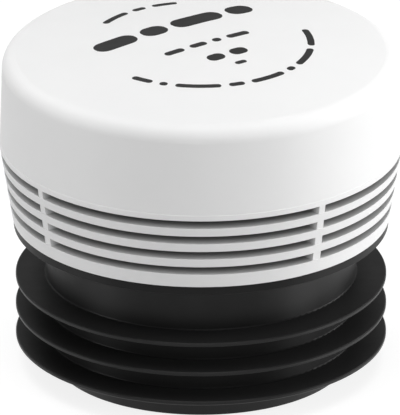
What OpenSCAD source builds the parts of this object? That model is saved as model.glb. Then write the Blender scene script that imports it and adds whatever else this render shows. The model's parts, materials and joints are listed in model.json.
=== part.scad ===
// Air admittance valve: a louvred cap over a lifting ring membrane, on a finned rubber pipe sleeve.
// Lengths are in millimetres. Z runs up the axis from the lower end of the sleeve.
// Radii build outwards from the central tube, and heights build upwards from the sleeve.

/* [Central tube and seats] */
// Bore of the central tube
tube_bore_d = 73; // [60:0.5:90]
// Wall of the central tube
tube_wall = 3; // [2.2:0.1:4]
// Width of the ring-shaped air port between the two seats
port_w = 8; // [6:0.5:12]
// Width of each seat lip
seat_w = 1.5; // [1:0.1:2]
// Height of the tapered lip on the central tube
seat_lip_h = 1.2; // [0.6:0.1:2]
// Height of the seats above the underside of the seat plate
seat_rise = 4.4; // [4:0.1:8]
// Thickness of the seat plate
plate_t = 2.4; // [1.6:0.1:3.2]
// Rim of the seat plate outside the chamber wall
plate_edge = 1.1; // [0.3:0.1:2]
// Wall of the chamber above the seat plate
chamber_wall = 1.9; // [1.6:0.1:4]
// Number of ribs across the air port
port_rib_count = 8; // [4:1:12]
// Thickness of each port rib
port_rib_t = 1.8; // [1.2:0.1:3]
// Depth of the port ribs below the seat plate, at the tube
port_rib_drop = 6.6; // [4:0.1:10]

/* [Stem guide] */
// Diameter of the stem
stem_d = 8; // [5:0.5:12]
// Wall of the guide tube
guide_wall = 2.1; // [1.4:0.1:3]
// Length of the guide tube
guide_h = 16; // [10:0.5:18]
// Distance from the seats down to the top of the guide tube
guide_drop = 10; // [9:0.5:14]
// Number of arms that carry the guide tube
arm_count = 4; // [3:1:6]
// Thickness of each arm
arm_t = 2.4; // [1.6:0.1:3.2]
// Height of each arm
arm_h = 6; // [4:0.5:9]

/* [Membrane and carrier] */
// Lift of the membrane from its seats
lift = 8; // [5:0.5:10]
// Thickness of the membrane
membrane_t = 2; // [1:0.1:3]
// Reach of the membrane past each seat
membrane_overlap = 0.8; // [0.5:0.1:1.5]
// Gap round the membrane inside the lid
membrane_gap = 0.6; // [0.4:0.1:2]
// Thickness of the carrier ring and its spokes
carrier_t = 2.5; // [1.6:0.1:4]
// Step of the carrier ring inside each edge of the membrane
carrier_inset = 1.2; // [0.3:0.1:1.5]
// Number of spokes in the carrier
spoke_count = 6; // [4:1:8]
// Width of each spoke
spoke_w = 3.2; // [2:0.1:5]
// Diameter of the carrier's hub
hub_d = 14; // [12:0.5:20]
// Length of the cone from the hub down to the stem
hub_cone_h = 6; // [3:0.5:7]
// Number of pegs that hold the membrane
peg_count = 6; // [4:1:12]
// Diameter of each peg
peg_d = 2.8; // [2:0.1:3.2]
// Diameter of each formed peg head
peg_head_d = 4.2; // [3.6:0.1:4.6]
// Height of each formed peg head
peg_head_h = 0.8; // [0.5:0.1:1]
// Thickness of the retainer ring
retainer_t = 1.4; // [1:0.1:1.8]
// Gap on each side of the retainer inside the air port
retainer_gap = 1.7; // [1:0.1:1.8]
// Diameter of the stem clip
clip_d = 16; // [14:0.5:20]
// Thickness of the stem clip
clip_t = 1.2; // [0.8:0.1:2]
// Depth of the clip's groove in the stem
clip_groove = 0.8; // [0.4:0.1:1.2]
// Length of stem below the clip
stem_tail = 1.6; // [1:0.1:4]

/* [Chamber lid] */
// Room above the carrier at full lift
headroom = 2; // [1:0.1:4]
// Thickness of the lid
lid_t = 2; // [1.4:0.1:3]
// Height of the lid's inside above the chamber wall
lid_rise = 5.5; // [4:0.1:7]
// Round edge of the lid
lid_edge_r = 3; // [2.5:0.1:4]
// Thickness of the lid's flange
lid_flange_t = 2; // [1.4:0.1:3]
// Wall of the lid's skirt
skirt_wall = 3.4; // [3.2:0.1:5]
// Depth of the lid's skirt below its flange
skirt_depth = 5; // [4:0.1:7]
// Section diameter of the lid's seal ring
o_ring_d = 2.2; // [1.6:0.1:2.4]

/* [Insect screen] */
// Thickness of the screen
screen_t = 1.2; // [0.8:0.1:2]
// Gap between the port ribs and the screen's wall
screen_margin = 0.8; // [0.4:0.1:1.5]
// Number of slots round the screen
screen_slot_count = 72; // [48:4:96]
// Width of each slot in the screen
screen_slot_w = 1.5; // [0.8:0.1:1.6]
// Unslotted border of the screen
screen_border = 1.4; // [1:0.1:2]
// Height and reach of the bead that holds the screen
screen_bead = 0.6; // [0.4:0.1:1]

/* [Cap] */
// Air gap between the lid and the middle of the cap
air_gap = 9.25; // [6:0.05:14]
// Wall of the cap
cap_wall = 2.1; // [1.8:0.1:3]
// Round edge of the cap
cap_edge_r = 5.1; // [3.2:0.05:8]
// Radius of the cap's domed top
cap_dome_r = 369; // [250:1:800]
// Draft of the cap's wall, in degrees
cap_draft = 1.5; // [0:0.1:2]
// Step of the cap's wall behind the louvre ring, at the seam
seam_step = 0.1; // [0.05:0.05:0.3]
// Diameter inside the cap's hold-down ring
hold_ring_d = 56; // [40:1:80]
// Thickness of the hold-down ring and of the cap's ribs
cap_rib_t = 2; // [1.2:0.1:3]
// Number of ribs under the cap
cap_rib_count = 8; // [4:1:16]
// Height of the ribs under the cap
cap_rib_h = 2.2; // [1:0.1:2.5]
// Reach of the ribs outside the hold-down ring
cap_rib_reach = 18; // [8:1:22]

/* [Louvre ring] */
// Number of rows of slots
slot_rows = 4; // [3:1:5]
// Height of each slot
slot_h = 2.66; // [2:0.02:4]
// Height of each blade between the slots
blade_h = 2.72; // [2:0.02:4]
// Depth of the blades from front to back
blade_depth = 7; // [6:0.1:8]
// Height of the plain rim below the slots
foot_h = 4.34; // [3.5:0.02:8]
// Height of the plain band above the slots
band_h = 1.84; // [1.4:0.02:4]
// Taper of the slotted part, in degrees
skirt_taper = 9.3; // [0:0.1:12]
// Number of posts between the slots
post_count = 4; // [3:1:8]
// Width of each post at the top
post_top_w = 2.1; // [1.6:0.1:4]
// Width of each post at the foot
post_foot_w = 3; // [1.6:0.1:5]
// Eased edges of the blades
blade_edge = 0.12; // [0.05:0.01:0.3]
// Step of the posts behind the faces of the blades
post_inset = 0.25; // [0.1:0.05:1]
// Wall of the tongue that enters the cap
tongue_wall = 1.6; // [1.2:0.1:2.4]
// Height of the tongue
tongue_h = 4; // [3.4:0.1:6]
// Reach of the snap bead on the tongue
snap_bead = 0.4; // [0.3:0.1:0.8]
// Height of the snap bead
snap_bead_h = 1.2; // [0.8:0.1:1.6]

/* [Base] */
// Thickness of the base's flange
flange_t = 2.84; // [2:0.02:5]
// Step of the flange inside the foot of the louvre ring
flange_inset = 0.35; // [0:0.05:1]
// Wall of the rim that centres the louvre ring
rim_wall = 1.4; // [1:0.1:2]
// Height of the rim that centres the louvre ring
rim_h = 3; // [2:0.1:3.4]
// Number of snap hooks on the rim
hook_count = 8; // [4:1:12]
// Angle that each hook covers, in degrees
hook_angle = 10; // [6:1:20]
// Reach of each hook over the louvre ring's foot
hook_reach = 0.8; // [0.4:0.1:1.2]
// Height of each hook's barb
hook_h = 1.5; // [1:0.1:1.8]
// Wall of the spigot
spigot_wall = 2.9; // [2:0.1:4]
// Length of the spigot below the flange
spigot_h = 14.66; // [12:0.02:16]
// Thickness of the pipe stop at the spigot's end
stop_t = 3; // [2:0.1:4]
// Reach of the bead that holds the sleeve
spigot_bead = 1; // [0.5:0.1:1.5]
// Height of the bead that holds the sleeve
spigot_bead_h = 2.4; // [1.6:0.1:4]

/* [Sealing sleeve] */
// Height of the sleeve
sleeve_h = 44.66; // [40:0.02:60]
// Wall of the sleeve
sleeve_wall = 4.6; // [3:0.1:6]
// Taper of the sleeve's lower end on the radius
tip_taper = 2.2; // [0:0.1:2.4]
// Number of sealing fins
fin_count = 3; // [2:1:4]
// Distance between fins
fin_pitch = 9.62; // [8:0.02:11]
// Reach of each fin
fin_reach = 9.2; // [6:0.1:12]
// Thickness of each fin at its rim
fin_rim_t = 1.3; // [1:0.1:2]
// Thickness of each fin at its root
fin_root_t = 2.4; // [2:0.1:4]
// Fall of each fin from root to rim
fin_droop = 0.31; // [0:0.01:1]
// Round between the sleeve's wall and the upper face of each fin
fin_round = 0.5; // [0.3:0.1:1]
// Height of the lowest fin's upper edge
first_fin_z = 9.4; // [8:0.1:14]
// Outside diameter of the pipe that the inner lips seal on
pipe_d = 75; // [74:0.5:78]
// Squeeze of each inner lip on that pipe
lip_squeeze = 0.6; // [0.2:0.1:1.2]
// Number of inner lips
lip_count = 3; // [2:1:3]
// Distance between inner lips
lip_pitch = 8; // [6:0.5:9]
// Height of the lowest lip's root
first_lip_z = 4; // [3:0.5:6]
// Thickness of each lip
lip_t = 1.8; // [1.2:0.1:2.4]
// Rise of each lip from root to edge
lip_rise = 2.6; // [1:0.1:4]

/* [Fits] */
// Gap between pieces that push together
fit = 0.2; // [0.1:0.05:0.3]
// Gap of the stem in its guide and of small rings in their grooves
running_gap = 0.08; // [0.05:0.01:0.1]
// Gap at stops and under hold-down faces
stop_gap = 0.2; // [0.1:0.05:0.4]
// Gap between the peg heads and the port ribs
rib_gap = 0.4; // [0.3:0.1:1]
// Eased edges of the moulded pieces
edge = 0.3; // [0.1:0.05:0.4]

/* [Hidden] */
$fn = 128;
// Facets of the dome's large circle
dome_fn = 1024;
// How far joined features reach into each other within one moulding
bite = 0.4;

// Radii from the axis outwards
tube_r = tube_bore_d / 2;
tube_out = tube_r + tube_wall;
inner_seat_r = tube_r + (tube_wall - seat_w) / 2;
port_out = tube_out + port_w;
seat_out = port_out + seat_w;
membrane_in = inner_seat_r - membrane_overlap;
membrane_out = seat_out + membrane_overlap;
skirt_in = membrane_out + membrane_gap;
skirt_out = skirt_in + skirt_wall;
chamber_in = skirt_out + fit;
chamber_out = chamber_in + chamber_wall;
plate_out = chamber_out + plate_edge;
tongue_in = plate_out + fit;
tongue_out = tongue_in + tongue_wall;
cap_in = tongue_out + fit;
cap_out = cap_in + cap_wall;
cap_dome_in = cap_dome_r - cap_wall;
seam_r = cap_out + seam_step;
socket_r = tube_out + fit;
spigot_out = socket_r + spigot_wall;
sleeve_in = spigot_out + running_gap;
sleeve_out = sleeve_in + sleeve_wall;
stem_r = stem_d / 2;
guide_in = stem_r + running_gap;
guide_out = guide_in + guide_wall;
peg_ring_r = tube_out + port_w / 2;
lip_r = pipe_d / 2 - lip_squeeze;

// Heights from the sleeve's lower end upwards
flange_z = sleeve_h;
foot_z = flange_z + flange_t;
slot_pitch = slot_h + blade_h;
louvre_z = foot_z + foot_h + slot_rows * slot_pitch - blade_h;
seam_z = louvre_z + band_h;
plate_z = seam_z + plate_t;
seat_z = seam_z + seat_rise;
carrier_z = seat_z + membrane_t;
carrier_top = carrier_z + carrier_t;
lid_in_z = carrier_top + lift + headroom;
lid_z = lid_in_z + lid_t;
cap_in_z = lid_z + air_gap;
top_z = cap_in_z + cap_wall;
chamber_z = lid_in_z - lid_rise;
o_ring_z = chamber_z - skirt_depth / 2;
retainer_z = seat_z - retainer_t;
peg_z = retainer_z - peg_head_h;
port_rib_z = peg_z - rib_gap;
screen_z = seam_z - port_rib_drop - screen_t;
guide_top = seat_z - guide_drop;
guide_z = guide_top - guide_h;
clip_z = guide_z - stop_gap - lift - clip_t;
spigot_z = flange_z - spigot_h;
stop_z = spigot_z + stop_t;
spigot_bead_z = stop_z + stop_gap;

white = "#f1f1ef";
black = "#1d1d1f";
rubber_black = "#232325";
grey = "#4a4b4e";
steel = "#b9bcc0";

// Outer radius of the louvre ring at height z: straight above the slots, tapered beside them
function louvre_r(z) = seam_r - max(0, louvre_z - z) * tan(skirt_taper);

// Height of the cap's domed underside at radius r
function under_dome(r) = cap_in_z - cap_dome_in + sqrt(pow(cap_dome_in, 2) - pow(r, 2));

// The outline with a small flat of size e on every corner
function eased(outline, e) =
    let (n = len(outline))
    [
        for (i = [0 : n - 1])
        let (
            corner = outline[i],
            to_last = outline[(i + n - 1) % n] - corner,
            to_next = outline[(i + 1) % n] - corner
        )
        each [corner + e * to_last / norm(to_last), corner + e * to_next / norm(to_next)]
    ];

// Corners of a ring's section between two radii and two heights
function section(r0, r1, z0, z1) = [[r0, z0], [r1, z0], [r1, z1], [r0, z1]];

// A solid ring of rectangular section
module ring(r0, r1, z0, z1) {
    rotate_extrude() polygon(section(r0, r1, z0, z1));
}

// An outline of radius and height, turned into a flat plate that stands on the axis
module radial_plate(t) {
    rotate([90, 0, 0]) linear_extrude(t, center = true) children();
}

// Copies evenly spaced round the axis
module around(count, start = 0) {
    for (i = [0 : count - 1]) rotate(start + i * 360 / count) children();
}

// Half section of a flat round lid with a true round edge
module lid_section(foot_r, z0, z1, edge_r) {
    centre = [foot_r - edge_r, z1 - edge_r];
    polygon([[0, z0], [foot_r, z0], [foot_r, centre.y], centre, [centre.x, z1], [0, z1]]);
    translate(centre) circle(edge_r);
}

// Half section of a domed cover with a drafted wall and a true round edge between wall and dome
module dome_section(foot_r, z0, z1, edge_r, draft, dome_r) {
    dome_centre = [0, z1 - dome_r];
    // The round edge's centre lies one edge radius inside the wall and inside the dome
    reach = foot_r - edge_r / cos(draft);
    rise = z0 - dome_centre.y;
    lean = rise - reach * tan(draft);
    excess = pow(reach, 2) + pow(rise, 2) - pow(dome_r - edge_r, 2);
    centre_h = (sqrt(pow(lean, 2) - excess / pow(cos(draft), 2)) - lean) * pow(cos(draft), 2);
    centre = [reach - centre_h * tan(draft), z0 + centre_h];
    wall_end = centre + edge_r * [cos(draft), sin(draft)];
    dome_end = dome_centre + dome_r * (centre - dome_centre) / norm(centre - dome_centre);
    above = z1 + edge_r;
    intersection() {
        translate(dome_centre) circle(dome_r, $fn = dome_fn);
        polygon([[0, z0], [foot_r, z0], wall_end, centre, dome_end, [dome_end.x, above], [0, above]]);
    }
    translate(centre) circle(edge_r);
}

// White domed top cover with a snap groove, a hold-down ring and ribs inside
module cap() {
    bead_z = seam_z + tongue_h / 2;
    hold_in = hold_ring_d / 2;
    hold_out = hold_in + cap_rib_t;
    rib_in = hold_out - bite;
    rib_out = hold_out + cap_rib_reach;
    color(white) {
        rotate_extrude() difference() {
            dome_section(cap_out, seam_z, top_z, cap_edge_r, cap_draft, cap_dome_r);
            dome_section(cap_in, seam_z, cap_in_z, cap_edge_r - cap_wall, cap_draft, cap_dome_in);
            polygon(section(0, cap_in + snap_bead, bead_z - fit, bead_z + snap_bead_h + fit));
        }
        ring(hold_in, hold_out, lid_z + stop_gap, under_dome(hold_out) + bite);
        around(cap_rib_count) radial_plate(cap_rib_t)
            polygon([
                [rib_in, under_dome(rib_in) - cap_rib_h],
                [rib_out, under_dome(rib_out) - cap_rib_h],
                [rib_out, under_dome(rib_out) + bite],
                [rib_in, under_dome(rib_in) + bite]
            ]);
    }
}

// White ring of blades between tapered posts, with a tongue that snaps into the cap
module louvre_ring() {
    bead_z = seam_z + tongue_h / 2;
    band_in = seam_r - blade_depth;
    foot_in = louvre_r(foot_z) - blade_depth;
    foot_top = foot_z + foot_h;
    color(white) {
        rotate_extrude() polygon(eased(section(band_in, seam_r, louvre_z, seam_z), blade_edge));
        ring(tongue_in, tongue_out, seam_z - bite, seam_z + tongue_h);
        rotate_extrude() polygon([
            [tongue_out - bite, bead_z],
            [tongue_out + snap_bead, bead_z],
            [tongue_out, bead_z + snap_bead_h],
            [tongue_out - bite, bead_z + snap_bead_h]
        ]);
        rotate_extrude() polygon(eased([
            [foot_in, foot_z],
            [louvre_r(foot_z), foot_z],
            [louvre_r(foot_top), foot_top],
            [foot_in, foot_top]
        ], blade_edge));
        for (row = [1 : slot_rows - 1]) blade(foot_top + row * slot_pitch - blade_h);
        around(post_count, 180 / post_count) post();
    }
}

// One blade whose front and back follow the taper
module blade(z) {
    rotate_extrude() polygon(eased([
        [louvre_r(z) - blade_depth, z],
        [louvre_r(z), z],
        [louvre_r(z + blade_h), z + blade_h],
        [louvre_r(z + blade_h) - blade_depth, z + blade_h]
    ], blade_edge));
}

// One post, wider at the foot, set back from the blades in front and behind
module post() {
    z0 = foot_z + foot_h - bite;
    z1 = louvre_z + bite;
    intersection() {
        rotate_extrude() polygon([
            [louvre_r(z0) - blade_depth + post_inset, z0],
            [louvre_r(z0) - post_inset, z0],
            [louvre_r(louvre_z) - post_inset, louvre_z],
            [louvre_r(z1) - post_inset, z1],
            [louvre_r(z1) - blade_depth + post_inset, z1]
        ]);
        rotate([90, 0, 90]) linear_extrude(seam_r) polygon([
            [-post_foot_w / 2, foot_z],
            [post_foot_w / 2, foot_z],
            [post_top_w / 2, seam_z],
            [-post_top_w / 2, seam_z]
        ]);
    }
}

// Black flange with a snap rim above it and a spigot with a pipe stop below it
module base() {
    flange_r = louvre_r(foot_z) - flange_inset;
    rim_out = louvre_r(foot_z) - blade_depth - fit;
    rim_in = rim_out - rim_wall;
    hook_z = foot_z + foot_h + stop_gap;
    color(black) {
        rotate_extrude() {
            difference() {
                polygon(eased(section(0, flange_r, flange_z, foot_z), edge));
                polygon(section(0, socket_r, flange_z, foot_z));
            }
            polygon(section(socket_r, spigot_out, spigot_z, flange_z + bite));
            polygon(section(tube_r, socket_r + bite, spigot_z, stop_z));
            polygon(section(rim_in, rim_out, foot_z - bite, foot_z + rim_h));
            polygon([
                [spigot_out - bite, spigot_bead_z],
                [spigot_out, spigot_bead_z],
                [spigot_out + spigot_bead, spigot_bead_z + spigot_bead_h / 2],
                [spigot_out + spigot_bead, spigot_bead_z + spigot_bead_h],
                [spigot_out - bite, spigot_bead_z + spigot_bead_h]
            ]);
        }
        around(hook_count) rotate(-hook_angle / 2) rotate_extrude(angle = hook_angle) polygon([
            [rim_in + fit, foot_z + rim_h - bite],
            [rim_out - fit, foot_z + rim_h - bite],
            [rim_out - fit, hook_z],
            [rim_out + hook_reach, hook_z],
            [rim_out - fit, hook_z + hook_h],
            [rim_in + fit, hook_z + hook_h]
        ]);
    }
}

// Black rubber sleeve with outer fins for a wide pipe and inner lips for a narrow one
module sealing_sleeve() {
    tip_z = first_fin_z - fin_root_t;
    color(rubber_black) rotate_extrude() {
        difference() {
            polygon([
                [sleeve_in, 0],
                [sleeve_out - tip_taper - edge, 0],
                [sleeve_out - tip_taper, edge],
                [sleeve_out, tip_z],
                [sleeve_out, flange_z],
                [sleeve_in, flange_z]
            ]);
            polygon([
                [0, spigot_bead_z - running_gap],
                [sleeve_in, spigot_bead_z - running_gap],
                [sleeve_in + spigot_bead, spigot_bead_z + spigot_bead_h / 2 - running_gap],
                [sleeve_in + spigot_bead, spigot_bead_z + spigot_bead_h + running_gap],
                [0, spigot_bead_z + spigot_bead_h + running_gap]
            ]);
        }
        for (i = [0 : fin_count - 1]) {
            fin_section(first_fin_z + i * fin_pitch);
            fin_root_section(first_fin_z + i * fin_pitch + fin_droop);
        }
        for (i = [0 : lip_count - 1]) lip_section(first_lip_z + i * lip_pitch);
    }
}

// Half section of one fin, from inside the wall to its rim; z is the upper edge of the rim
module fin_section(z) {
    fin_r = sleeve_out + fin_reach;
    polygon([
        [sleeve_out - bite, z + fin_droop - fin_root_t],
        [sleeve_out, z + fin_droop - fin_root_t],
        [fin_r - edge, z - fin_rim_t],
        [fin_r, z - fin_rim_t + edge],
        [fin_r, z - edge],
        [fin_r - edge, z],
        [sleeve_out, z + fin_droop],
        [sleeve_out - bite, z + fin_droop]
    ]);
}

// Half section of the round at a fin's root, which touches the wall and the sloping upper face;
// z is the height where those two would meet
module fin_root_section(z) {
    slope = fin_droop / (fin_reach - edge);
    lean = norm([1, slope]);
    centre = [sleeve_out + fin_round, z + fin_round * (lean - slope)];
    foot = centre - fin_round * [slope, 1] / lean;
    difference() {
        polygon([
            [sleeve_out - bite, z - bite],
            [foot.x, foot.y - bite],
            foot,
            centre,
            [sleeve_out, centre.y],
            [sleeve_out - bite, centre.y]
        ]);
        translate(centre) circle(fin_round);
    }
}

// Half section of one inner lip that leans the way the pipe enters, with a straight land at its edge
module lip_section(z) {
    polygon([
        [sleeve_in + bite, z],
        [sleeve_in + bite, z + lip_t],
        [sleeve_in, z + lip_t],
        [lip_r, z + lip_rise + lip_t / 2],
        [lip_r, z + lip_rise],
        [sleeve_in, z]
    ]);
}

// Central tube, both seats, the seat plate with its chamber wall, and the stem guide on its arms
module seat_housing() {
    bead_top = screen_z;
    arm_z = (guide_z + guide_top - arm_h) / 2;
    color(grey) {
        rotate_extrude() {
            polygon([
                [tube_r, stop_z],
                [tube_out, stop_z],
                [tube_out, seat_z - seat_lip_h],
                [inner_seat_r + seat_w, seat_z],
                [inner_seat_r, seat_z],
                [tube_r, seat_z - seat_lip_h]
            ]);
            polygon([
                [tube_out - bite, bead_top - 2 * screen_bead],
                [tube_out, bead_top - 2 * screen_bead],
                [tube_out + screen_bead, bead_top],
                [tube_out - bite, bead_top]
            ]);
            polygon(section(port_out, seat_out, seam_z, seat_z));
            polygon(section(port_out, plate_out, seam_z, plate_z));
            polygon(section(chamber_in, chamber_out, plate_z - bite, chamber_z));
            polygon(section(guide_in, guide_out, guide_z, guide_top));
        }
        around(port_rib_count, 180 / port_rib_count) radial_plate(port_rib_t) polygon([
            [tube_out - bite, seam_z - port_rib_drop],
            [port_out + bite, seam_z + bite],
            [port_out + bite, port_rib_z],
            [tube_out - bite, port_rib_z]
        ]);
        around(arm_count) radial_plate(arm_t)
            polygon(section(guide_out - bite, tube_r + bite, arm_z, arm_z + arm_h));
    }
}

// Soft ring that covers the air port and lies on both seats
module membrane() {
    color(rubber_black) difference() {
        ring(membrane_in, membrane_out, seat_z, carrier_z);
        pegs(peg_d / 2 + running_gap, seat_z - bite, carrier_z + bite);
    }
}

// The circle of pegs, or of holes for them
module pegs(r, z0, z1) {
    around(peg_count) translate([peg_ring_r, 0, z0]) cylinder(r = r, h = z1 - z0);
}

// Spoked disc above the membrane, with a grooved stem and pegs whose heads hold the retainer
module membrane_carrier() {
    carrier_in = membrane_in + carrier_inset;
    carrier_out = membrane_out - carrier_inset;
    groove_r = stem_r - clip_groove;
    hub_r = hub_d / 2;
    color(white) {
        rotate_extrude() {
            polygon(eased(section(carrier_in, carrier_out, carrier_z, carrier_top), edge));
            difference() {
                polygon([
                    [0, clip_z - stem_tail],
                    [stem_r - edge, clip_z - stem_tail],
                    [stem_r, clip_z - stem_tail + edge],
                    [stem_r, carrier_z - hub_cone_h],
                    [hub_r, carrier_z],
                    [hub_r, carrier_top],
                    [0, carrier_top]
                ]);
                polygon(section(groove_r, stem_d, clip_z - running_gap, clip_z + clip_t + running_gap));
            }
        }
        around(spoke_count, 180 / spoke_count) radial_plate(spoke_w)
            polygon(section(stem_r, carrier_in + bite, carrier_z, carrier_top));
        pegs(peg_d / 2, peg_z, carrier_z + bite);
        pegs(peg_head_d / 2, peg_z, retainer_z);
    }
}

// Ring under the membrane, in the air port
module membrane_retainer() {
    color(white) difference() {
        ring(tube_out + retainer_gap, port_out - retainer_gap, retainer_z, seat_z);
        pegs(peg_d / 2 + running_gap, retainer_z - bite, seat_z + bite);
    }
}

// Open clip pushed into the stem's groove from the side
module stem_clip() {
    clip_in = stem_r - clip_groove + running_gap;
    color(steel) difference() {
        ring(clip_in, clip_d / 2, clip_z, clip_z + clip_t);
        translate([0, -clip_in + edge, clip_z - bite]) cube([clip_d, 2 * (clip_in - edge), clip_t + 2 * bite]);
    }
}

// Lid over the membrane chamber, with a flange that rests on the chamber wall and a grooved skirt
module chamber_lid() {
    groove_r = chamber_in - o_ring_d - 2 * running_gap;
    groove_half = o_ring_d / 2 + running_gap;
    color(grey) rotate_extrude() difference() {
        union() {
            lid_section(skirt_in + lid_t, chamber_z, lid_z, lid_edge_r);
            polygon(section(0, skirt_out, chamber_z - skirt_depth, chamber_z + bite));
            polygon(section(0, chamber_out, chamber_z, chamber_z + lid_flange_t));
        }
        lid_section(skirt_in, chamber_z - skirt_depth, lid_in_z, lid_edge_r - lid_t);
        polygon(section(groove_r, chamber_out, o_ring_z - groove_half, o_ring_z + groove_half));
    }
}

// Seal ring in the groove of the lid's skirt
module lid_o_ring() {
    color(rubber_black) rotate_extrude()
        translate([chamber_in - running_gap - o_ring_d / 2, o_ring_z]) circle(d = o_ring_d);
}

// Slotted basket between the tube and the seat plate, under the air port
module insect_screen() {
    wall_in = port_out + screen_margin;
    wall_out = wall_in + screen_t;
    color(grey) difference() {
        rotate_extrude() {
            polygon(section(socket_r, wall_out, screen_z, screen_z + screen_t));
            polygon(section(wall_in, wall_out, screen_z, seam_z));
        }
        around(screen_slot_count) radial_plate(screen_slot_w) polygon(section(
            socket_r + screen_border, wall_out + bite, screen_z - bite, seam_z - screen_border
        ));
    }
}

cap();
louvre_ring();
base();
sealing_sleeve();
seat_housing();
membrane();
membrane_carrier();
membrane_retainer();
stem_clip();
chamber_lid();
lid_o_ring();
insect_screen();
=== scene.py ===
import json
import math

import bmesh
import bpy
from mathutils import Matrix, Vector


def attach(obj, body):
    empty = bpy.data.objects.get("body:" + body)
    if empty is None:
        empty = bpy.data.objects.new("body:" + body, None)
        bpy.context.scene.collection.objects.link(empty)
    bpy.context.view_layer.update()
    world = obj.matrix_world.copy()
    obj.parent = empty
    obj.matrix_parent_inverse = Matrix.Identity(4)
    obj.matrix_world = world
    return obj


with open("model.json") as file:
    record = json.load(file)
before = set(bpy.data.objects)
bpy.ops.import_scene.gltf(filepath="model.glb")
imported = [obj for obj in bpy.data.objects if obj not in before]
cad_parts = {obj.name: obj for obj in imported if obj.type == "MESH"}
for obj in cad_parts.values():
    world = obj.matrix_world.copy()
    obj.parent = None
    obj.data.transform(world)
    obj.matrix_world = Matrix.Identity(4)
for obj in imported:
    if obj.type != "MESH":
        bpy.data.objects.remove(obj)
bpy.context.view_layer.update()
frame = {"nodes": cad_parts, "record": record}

MM = 0.001

# Camera: a long lens far away, as the photograph has almost no perspective
VIEW_AZIMUTH = math.radians(8)
VIEW_ELEVATION = math.radians(23)
CAMERA_DISTANCE = 5.6
CAMERA_LENS_MM = 1596
CAMERA_FAR_LIMIT = 100
AIM_HEIGHT = 49.3 * MM
AIM_SIDE = -0.3 * MM

# Directions seen from the camera: to its right, and from the object towards it
RIGHT = Vector((math.cos(VIEW_AZIMUTH), math.sin(VIEW_AZIMUTH), 0))
TOWARDS = Vector((math.sin(VIEW_AZIMUTH), -math.cos(VIEW_AZIMUTH), 0))
UP = Vector((0, 0, 1))


def added(name, data):
    """A new object, linked to the scene."""
    made = bpy.data.objects.new(name, data)
    bpy.context.scene.collection.objects.link(made)
    return made


def made_of(name, shape, material):
    """A new object from a bmesh shape, which is used up, in one material."""
    mesh = bpy.data.meshes.new(name)
    shape.to_mesh(mesh)
    shape.free()
    mesh.materials.append(material)
    return added(name, mesh)


def stand_off(thing, aim, side, height, distance):
    """Stands a camera or lamp at a distance from aim, and turns it to face aim.

    side is the angle to the right of the photograph's view, and height the angle above the floor.
    """
    level = TOWARDS * math.cos(side) + RIGHT * math.sin(side)
    direction = level * math.cos(height) + UP * math.sin(height)
    thing.location = aim + direction * distance
    thing.rotation_euler = (aim - thing.location).to_track_quat("-Z", "Y").to_euler()


def place_camera():
    data = bpy.data.cameras.new("camera")
    data.lens = CAMERA_LENS_MM
    data.clip_end = CAMERA_FAR_LIMIT
    camera = added("camera", data)
    stand_off(camera, RIGHT * AIM_SIDE + UP * AIM_HEIGHT, 0, VIEW_ELEVATION, CAMERA_DISTANCE)
    bpy.context.scene.camera = camera


# Noise stays mostly between these values, which mark the ends of the colour or roughness that it drives
NOISE_RANGE = (0.3, 0.7)
# Octaves of noise in the colour, in the patches of gloss and in the grain
CLOUD_DETAIL = 2.0
PATCH_DETAIL = 4.0
GRAIN_DETAIL = 3.0
# Painted shade: the gloss is lowered between close surfaces
# Gloss that fades between close surfaces: how near they count, the open share at both ends, rays a spot
HEM_REACH = 10 * MM
HEM_RANGE = (0.35, 0.8)
HEM_RAYS = 16


def grey(level):
    return (level, level, level, 1)


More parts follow.
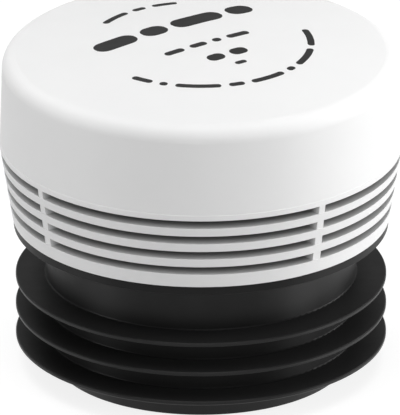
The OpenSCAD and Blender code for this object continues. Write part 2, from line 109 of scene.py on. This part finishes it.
class Shader:
    """A material with a Principled shader, and short ways to add nodes to it."""

    def __init__(self, name):
        self.material = bpy.data.materials.new(name)
        self.material.use_nodes = True
        self.tree = self.material.node_tree
        self.bsdf = self.tree.nodes["Principled BSDF"]
        self.place = self.tree.nodes.new("ShaderNodeTexCoord").outputs["Object"]

    def feed(self, target, value):
        """Sets an input to a fixed value, or links it to another node's output."""
        if isinstance(value, bpy.types.NodeSocket):
            self.tree.links.new(value, target)
        else:
            target.default_value = value

    def surface(self, name, value):
        """Feeds an input of the Principled shader."""
        self.feed(self.bsdf.inputs[name], value)

    def node(self, kind, inputs, **settings):
        """A new node, with its inputs fed by name or number."""
        made = self.tree.nodes.new(kind)
        for key, value in settings.items():
            setattr(made, key, value)
        for key, value in inputs.items():
            self.feed(made.inputs[key], value)
        return made

    def calculated(self, operation, *values):
        """The result of a Math node."""
        return self.node("ShaderNodeMath", dict(enumerate(values)), operation=operation).outputs["Value"]

    def noise(self, size, detail):
        """Noise whose blobs are about size across."""
        inputs = {"Vector": self.place, "Scale": 1 / size, "Detail": detail}
        return self.node("ShaderNodeTexNoise", inputs).outputs["Fac"]

    def spread(self, value, source, target):
        """A value taken from the range source to the range target."""
        inputs = {"Value": value}
        inputs["From Min"], inputs["From Max"] = source
        inputs["To Min"], inputs["To Max"] = target
        return self.node("ShaderNodeMapRange", inputs).outputs["Result"]

    def ramp(self, factor, stops):
        """A grey that follows factor; stops are pairs of a factor and its grey."""
        made = self.node("ShaderNodeValToRGB", {"Fac": factor})
        # A new ramp has two stops
        elements = made.color_ramp.elements
        while len(elements) < len(stops):
            elements.new(1)
        for element, (position, level) in zip(elements, stops):
            element.position = position
            element.color = grey(level)
        return made.outputs["Color"]

    def clouds(self, size, greys):
        """A colour that drifts between two greys, in clouds about size across."""
        return self.ramp(self.noise(size, CLOUD_DETAIL), list(zip(NOISE_RANGE, greys)))

    def bump(self, size, depth, strength):
        """A normal for grain about size across and depth high."""
        inputs = {"Height": self.noise(size, GRAIN_DETAIL), "Distance": depth, "Strength": strength}
        return self.node("ShaderNodeBump", inputs).outputs["Normal"]

    def openness(self):
        """The open share around a spot, which falls where the piece's own surfaces close in."""
        inputs = {"Distance": HEM_REACH}
        made = self.node("ShaderNodeAmbientOcclusion", inputs, only_local=True, samples=HEM_RAYS)
        return made.outputs["AO"]

    def mixed(self, factor, first, second):
        """The first shader where factor is 0, and the second where it is 1."""
        return self.node("ShaderNodeMixShader", {"Fac": factor, 1: first, 2: second}).outputs["Shader"]


# Moulded plastic and rubber: size of the clouds in the colour and of the patches of gloss
CLOUD_SIZE = 14 * MM
PATCH_SIZE = 5 * MM
GRAIN_STRENGTH = 0.5
PLAIN_GLOSS = 0.5
SHEEN_ROUGHNESS = 0.4
# Turns the spread of the gloss from along the turning marks to across them, as a share of a whole turn
ACROSS_MARKS = 0.25


def finish(shader, rough, grain, depth, specular=PLAIN_GLOSS, patch=PATCH_SIZE, strength=GRAIN_STRENGTH):
    """Uneven gloss and a fine grain: rough is the range of roughness, grain and depth the grain's size."""
    shader.surface("Roughness", shader.spread(shader.noise(patch, PATCH_DETAIL), NOISE_RANGE, rough))
    shader.surface("Normal", shader.bump(grain, depth, strength))
    shader.surface("Specular IOR Level", specular)


def moulded(name, greys, rough, grain, depth, specular=PLAIN_GLOSS, shaded_gloss=None, turned=0, sheen=0):
    """Moulded plastic or rubber.

    specular is the gloss in the open, and shaded_gloss the lower gloss between close surfaces, where it
    differs, which paints shade there.
    turned is how much the mould's turning marks, which run round the axis, spread the gloss across them.
    """
    shader = Shader(name)
    # Painted shade: the gloss falls where the piece's own surfaces close in
    if shaded_gloss is not None:
        specular = shader.spread(shader.openness(), HEM_RANGE, (shaded_gloss, specular))
    shader.surface("Base Color", shader.clouds(CLOUD_SIZE, greys))
    finish(shader, rough, grain, depth, specular)
    shader.surface("Sheen Weight", sheen)
    shader.surface("Sheen Roughness", SHEEN_ROUGHNESS)
    if turned:
        round_axis = shader.node("ShaderNodeTangent", {}, direction_type="RADIAL", axis="Z")
        shader.surface("Tangent", round_axis.outputs["Tangent"])
        shader.surface("Anisotropic", turned)
        shader.surface("Anisotropic Rotation", ACROSS_MARKS)
    return shader.material


# The cap and the louvre ring share one finish, so that their seam is only a line
WHITE_FINISH = dict(rough=(0.5, 0.56), grain=0.4 * MM, depth=0.006 * MM, specular=0.35)
# What the black plastic and the sleeve's rubber have in common
BLACK_LOOK = dict(greys=(0.007, 0.008), rough=(0.42, 0.48), turned=0.6, sheen=0.04)
MOULDED = {
    "white_plastic": dict(WHITE_FINISH, greys=(0.86, 0.87)),
    "black_plastic": dict(BLACK_LOOK, grain=0.4 * MM, depth=0.01 * MM, specular=0.16),
    # The sleeve's gloss falls between its fins, as painted shade
    "sleeve_rubber": dict(BLACK_LOOK, grain=0.5 * MM, depth=0.012 * MM, specular=0.26, shaded_gloss=0.08),
    "grey_plastic": dict(greys=(0.05, 0.06), rough=(0.4, 0.5), grain=0.5 * MM, depth=0.01 * MM),
    "membrane_rubber": dict(greys=(0.02, 0.026), rough=(0.5, 0.6), grain=0.4 * MM, depth=0.02 * MM),
    "carrier_plastic": dict(greys=(0.66, 0.72), rough=(0.36, 0.44), grain=0.4 * MM, depth=0.01 * MM),
    "print_ink": dict(greys=(0.02, 0.03), rough=(0.5, 0.6), grain=0.2 * MM, depth=0.004 * MM, specular=0.3),
}

# The louvre ring's face is a cone: its radius and height at the foot, its growth with height, the slots'
# depth
LOUVRE_FOOT_RADIUS = 57.4 * MM
LOUVRE_FOOT_HEIGHT = 47.5 * MM
LOUVRE_TAPER = math.tan(math.radians(9.3))
SLOT_DEPTH = 7 * MM
# Painted shade in the slots: pairs of a share of the slots' depth and the grey there
SLOT_SHADE_GREYS = [(0.1, 0.865), (0.3, 0.64), (0.5, 0.42), (0.65, 0.31), (0.9, 0.16)]


def painted_slot_shade(name):
    """The cap's plastic, with painted shade that darkens it deep in the slots."""
    shader = Shader(name)
    height = shader.node("ShaderNodeSeparateXYZ", {"Vector": shader.place}).outputs["Z"]
    plan = shader.node("ShaderNodeVectorMath", {0: shader.place, 1: (1, 1, 0)}, operation="MULTIPLY")
    radius = shader.node("ShaderNodeVectorMath", {0: plan.outputs["Vector"]}, operation="LENGTH")
    radius_at_floor = LOUVRE_FOOT_RADIUS - LOUVRE_TAPER * LOUVRE_FOOT_HEIGHT
    face = shader.calculated("MULTIPLY_ADD", height, LOUVRE_TAPER, radius_at_floor)
    depth = shader.calculated("SUBTRACT", face, radius.outputs["Value"])
    shader.surface("Base Color", shader.ramp(shader.calculated("DIVIDE", depth, SLOT_DEPTH), SLOT_SHADE_GREYS))
    finish(shader, **WHITE_FINISH)
    return shader.material


STEEL_GREYS = (0.5, 0.6)
STEEL_CLOUD_SIZE = 2 * MM
STEEL_FINISH = dict(rough=(0.24, 0.36), grain=0.15 * MM, depth=0.01 * MM, patch=1 * MM, strength=0.4)


def stamped_steel(name):
    shader = Shader(name)
    shader.surface("Base Color", shader.clouds(STEEL_CLOUD_SIZE, STEEL_GREYS))
    finish(shader, **STEEL_FINISH)
    shader.surface("Metallic", 1)
    return shader.material


MATERIALS = {name: moulded(name, **look) for name, look in MOULDED.items()}
# The louvre ring gets the cap's plastic with painted shade deep in its slots
MATERIALS["louvre_painted_shade"] = painted_slot_shade("louvre_painted_shade")
MATERIALS["clip_steel"] = stamped_steel("clip_steel")
# A node with a material of its own, in place of its slot's
OWN_MATERIAL = {"louvre_ring": "louvre_painted_shade"}


def dress_nodes():
    for subpart in frame["record"]["subparts"]:
        node = subpart["node"]
        mesh = frame["nodes"][node].data
        mesh.materials.clear()
        mesh.materials.append(MATERIALS[OWN_MATERIAL.get(node, subpart["material_slot"])])


# Print on the cap: round-ended bars in rows and along a ring, as thin ink that follows the dome
INK_PROUD = 0.03 * MM
INK_SUNK = 0.05 * MM
INK_GAP = 2.4 * MM
# A bar's mesh: its steps along, its strips across, and its steps round a quarter of a circle at the ends
INK_STEP = 1.5 * MM
INK_STRIPS = 4
INK_END_STEPS = 6
# The height, well above the cap, from which its top is looked for
ABOVE_CAP = 1
# The print's right-hand side is turned away from the camera by this angle
PRINT_TURN = math.radians(36)
PRINT_RIGHT = RIGHT * math.cos(PRINT_TURN) - TOWARDS * math.sin(PRINT_TURN)
PRINT_AWAY = -RIGHT * math.sin(PRINT_TURN) - TOWARDS * math.cos(PRINT_TURN)
# Each row: its distance behind the axis, its bars' width and their lengths
PRINT_ROWS = [
    (14.4 * MM, 7.0 * MM, [15 * MM, 9 * MM, 18 * MM, 9 * MM]),
    (-3.0 * MM, 2.6 * MM, [7 * MM, 6 * MM, 3 * MM, 8 * MM]),
    (-13.5 * MM, 4.4 * MM, [6 * MM, 6 * MM]),
    (-20.5 * MM, 2.0 * MM, [4 * MM]),
]
RING_RADIUS = 33.4 * MM
RING_WIDTH = 2.2 * MM
# Each part of the ring: the angle of its middle and the lengths of its bars
RING_PARTS = [
    (math.radians(-90), [7 * MM, 2.6 * MM, 14 * MM, 5 * MM, 12 * MM, 3 * MM, 13 * MM, 13 * MM]),
    (math.radians(91), [8 * MM, 4.5 * MM, 11 * MM]),
]


def print_place(right, away):
    """A point in plan from its place in the print."""
    return (PRINT_RIGHT * right + PRINT_AWAY * away).xy


def on_row(start, row):
    """Places on a bar that begins at start in a straight row."""
    return lambda along, across: print_place(start + along, row + across)


def on_ring(start, middle):
    """Places on a bar that begins at start, measured along the ring from the angle middle."""
    def place(along, across):
        angle = middle + (start + along) / RING_RADIUS
        radius = RING_RADIUS + across
        return print_place(radius * math.cos(angle), radius * math.sin(angle))

    return place


def centred(lengths):
    """Where each bar begins, and its length, in a line of bars with its middle at 0."""
    start = -(sum(lengths) + INK_GAP * (len(lengths) - 1)) / 2
    for length in lengths:
        yield start, length
        start += length + INK_GAP


def bar_stations(length, width):
    """Distances along a round-ended bar, each with the bar's half width there."""
    half = width / 2
    turns = [math.radians(90) * i / INK_END_STEPS for i in range(1, INK_END_STEPS + 1)]
    end = [(half * (1 - math.cos(turn)), half * math.sin(turn)) for turn in turns]
    straight = length - width
    count = max(1, round(straight / INK_STEP))
    middle = [(half + straight * i / count, half) for i in range(1, count)]
    return end + middle + [(length - along, reach) for along, reach in reversed(end)]


def add_bar(shape, cap, length, width, place):
    """A bar of ink; place gives a point in plan for a distance along the bar and one across it."""
    top, bottom = [], []
    for along, reach in bar_stations(length, width):
        points = [place(along, reach * (2 * i / INK_STRIPS - 1)) for i in range(INK_STRIPS + 1)]
        heights = [cap.ray_cast((x, y, ABOVE_CAP), -UP)[1].z for x, y in points]
        top.append([shape.verts.new((x, y, z + INK_PROUD)) for (x, y), z in zip(points, heights)])
        bottom.append([shape.verts.new((x, y, z - INK_SUNK)) for (x, y), z in zip(points, heights)])
    last = len(top) - 1
    for i in range(last):
        for j in range(INK_STRIPS):
            for side in (top, bottom):
                shape.faces.new((side[i][j], side[i + 1][j], side[i + 1][j + 1], side[i][j + 1]))
        for j in (0, INK_STRIPS):
            shape.faces.new((top[i][j], top[i + 1][j], bottom[i + 1][j], bottom[i][j]))
    for i in (0, last):
        for j in range(INK_STRIPS):
            shape.faces.new((top[i][j], top[i][j + 1], bottom[i][j + 1], bottom[i][j]))


def print_cap():
    cap = frame["nodes"]["cap"]
    shape = bmesh.new()
    for row, width, lengths in PRINT_ROWS:
        for start, length in centred(lengths):
            add_bar(shape, cap, length, width, on_row(start, row))
    for middle, lengths in RING_PARTS:
        for start, length in centred(lengths):
            add_bar(shape, cap, length, RING_WIDTH, on_ring(start, middle))
    bmesh.ops.recalc_face_normals(shape, faces=shape.faces)
    piece = made_of("top_print", shape, MATERIALS["print_ink"])
    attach(piece, "housing")


# Studio: an even surround, a floor, and lamps named by where they stand, seen from the camera
AMBIENT = 0.3
FLOOR_RADIUS = 4.0
FLOOR_SIDES = 96
# The floor as it is seen: its glow, and the greys that take the shadow, in clouds
FLOOR_GLOW = 0.83
FLOOR_GREYS = (0.26, 0.28)
FLOOR_CLOUD_SIZE = 300 * MM
FLOOR_ROUGHNESS = 0.9
# The floor's grey where it only lights the object
FLOOR_BOUNCE = 0.5
LAMP_DISTANCE = 1.2
# Name, angle to the right of the camera and angle of height, both in degrees, width, length and power
LAMPS = [
    ("top", 0, 85, 1.0, 1.0, 9.6),
    ("back_left", -140, 40, 0.6, 0.6, 1.8),
    ("front", 0, 30, 0.8, 0.8, 1.4),
    ("left", -72, 4, 0.4, 0.16, 2.7),
    ("right", 76, 4, 0.5, 0.16, 6.3),
    ("right_back", 108, 8, 0.3, 0.3, 3.8),
]


def light_world():
    world = bpy.data.worlds.new("studio")
    bpy.context.scene.world = world
    world.use_nodes = True
    ambient = world.node_tree.nodes["Background"]
    ambient.inputs["Color"].default_value = grey(1)
    ambient.inputs["Strength"].default_value = AMBIENT


def shows_floor(shader):
    """1 on rays that show the floor, straight or in a reflection, and 0 on those that only carry light."""
    path = shader.node("ShaderNodeLightPath", {})
    shown = path.outputs["Is Camera Ray"]
    for name in ("Is Glossy Ray", "Is Transmission Ray"):
        shown = shader.calculated("MAXIMUM", shown, path.outputs[name])
    return shown


def floor_material():
    """A white glow where it is seen, and a plain grey where it only lights the object.

    From below it is clear, so that the underside can be looked at.
    """
    shader = Shader("floor")
    shader.surface("Base Color", shader.clouds(FLOOR_CLOUD_SIZE, FLOOR_GREYS))
    shader.surface("Roughness", FLOOR_ROUGHNESS)
    shader.surface("Specular IOR Level", 0)
    shader.surface("Emission Color", grey(1))
    shader.surface("Emission Strength", FLOOR_GLOW)
    bounce = shader.node("ShaderNodeBsdfDiffuse", {"Color": grey(FLOOR_BOUNCE)}).outputs["BSDF"]
    above = shader.mixed(shows_floor(shader), bounce, shader.bsdf.outputs["BSDF"])
    clear = shader.node("ShaderNodeBsdfTransparent", {}).outputs["BSDF"]
    below = shader.node("ShaderNodeNewGeometry", {}).outputs["Backfacing"]
    output = shader.tree.nodes["Material Output"]
    shader.feed(output.inputs["Surface"], shader.mixed(below, above, clear))
    return shader.material


def lay_floor():
    shape = bmesh.new()
    bmesh.ops.create_circle(shape, cap_ends=True, segments=FLOOR_SIDES, radius=FLOOR_RADIUS)
    floor = made_of("floor", shape, floor_material())


def place_lamp(name, side, height, width, length, power):
    data = bpy.data.lights.new(name, "AREA")
    data.shape = "RECTANGLE"
    data.size = width
    data.size_y = length
    data.energy = power
    lamp = added(name, data)
    stand_off(lamp, UP * AIM_HEIGHT, math.radians(side), math.radians(height), LAMP_DISTANCE)
    lamp.visible_camera = False


place_camera()
dress_nodes()
print_cap()
light_world()
lay_floor()
for lamp in LAMPS:
    place_lamp(*lamp)
bpy.context.scene.view_settings.view_transform = "Standard"
